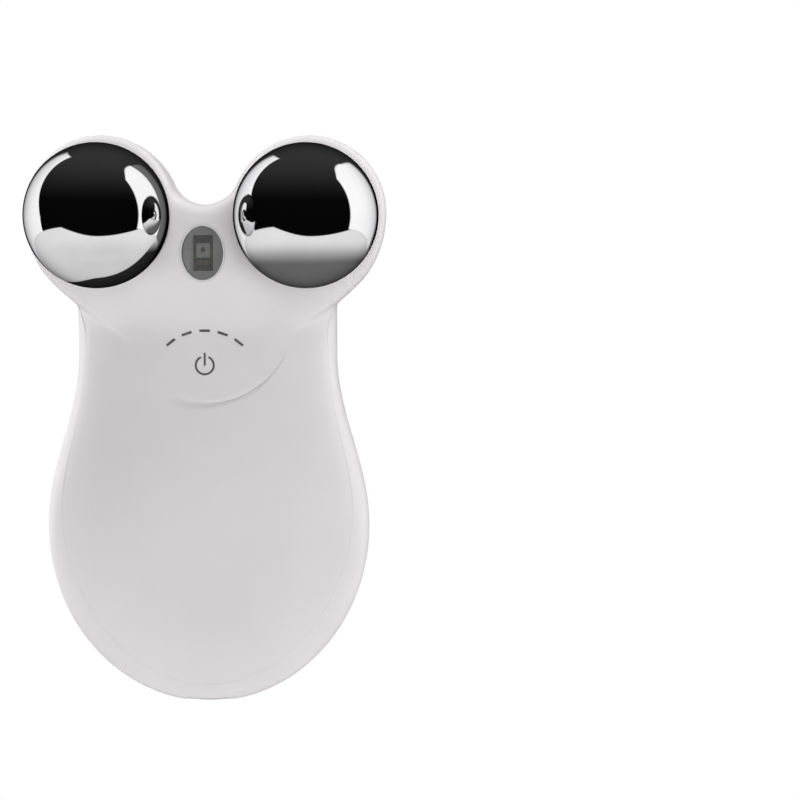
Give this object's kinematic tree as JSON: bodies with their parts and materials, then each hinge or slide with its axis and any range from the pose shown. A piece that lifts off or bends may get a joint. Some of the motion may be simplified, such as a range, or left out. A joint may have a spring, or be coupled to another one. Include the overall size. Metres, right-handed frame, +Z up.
{
  "type": "facial toning device",
  "caption": "Palm-held facial toner: rounded white body with chrome ball electrodes under ear-shaped lobes, oval light window, power button and mirror contact plate at the back.",
  "frame": {"origin": "middle of the palm grip: on the body's mid-plane, at the height where the belly is widest, midway between its sides", "axes": "+Z up from the tail to the ear lobes, +X to the right seen from the front, +Y to the back, where the contact plate is; the balls and the button face -Y"},
  "size_m": [0.066, 0.0427, 0.1048],
  "materials": {
    "shell_white": "satin gloss",
    "button_white": "satin gloss",
    "symbol_grey": "matt",
    "switch_grey": "matt",
    "plunger_black": "matt",
    "board_green": "solder mask",
    "board_white": "solder mask",
    "chip_black": "matt",
    "coil_copper": "enamelled winding",
    "diode_cream": "clear resin",
    "guide_smoke": "translucent",
    "lens_grey": "translucent grey",
    "rim_white": "gloss",
    "package_grey": "matt",
    "lead_red": "insulated lead",
    "lead_blue": "insulated lead",
    "ball_chrome": "mirror polish",
    "plate_mirror": "mirror polish",
    "seat_ivory": "matt",
    "steel": "plain",
    "contact_brass": "gold plated",
    "gasket_grey": "adhesive foam",
    "cell_silver": "pouch foil",
    "tray_ivory": "matt",
    "foam_grey": "open foam",
    "tongue_black": "matt"
  },
  "bodies": {
    "housing": {"front_shell": "shell_white", "rear_shell": "shell_white", "switch_body": "switch_grey", "main_board": "board_green", "controller_chip": "chip_black", "step_up_coil": "coil_copper", "level_leds": "diode_cream", "light_guide": "guide_smoke", "window_lens": "lens_grey", "window_rim": "rim_white", "light_package": "package_grey", "window_board": "board_white", "window_leads": "lead_red", "ball_electrode_left": "ball_chrome", "ball_electrode_right": "ball_chrome", "electrode_seat_left": "seat_ivory", "electrode_seat_right": "seat_ivory", "electrode_screws": "steel", "electrode_tags": "contact_brass", "electrode_leads": "lead_blue", "contact_plate": "plate_mirror", "plate_gasket": "gasket_grey", "contact_spring": "contact_brass", "cell": "cell_silver", "cell_tray": "tray_ivory", "cell_foam": "foam_grey", "cell_leads": "lead_red", "charging_socket": "steel", "socket_tongue": "tongue_black", "case_screws": "steel"},
    "button": {"power_button": "button_white", "power_symbol": "symbol_grey"},
    "plunger": {"switch_plunger": "plunger_black"}
  },
  "joints": [
    {"name": "button_press", "type": "slide", "parent": "housing", "child": "button", "axis": [0, 1, 0], "range_m": [0, 0.0004], "stiffness_N_per_m": 1500, "springref_m": -0.0006},
    {"name": "switch_plunger_slide", "type": "slide", "parent": "housing", "child": "plunger", "axis": [0, 1, 0], "range_m": [0, 0.0004]}
  ],
  "couplings": [
    {"joint": "switch_plunger_slide", "follows": "button_press", "ratio": 1}
  ]
}
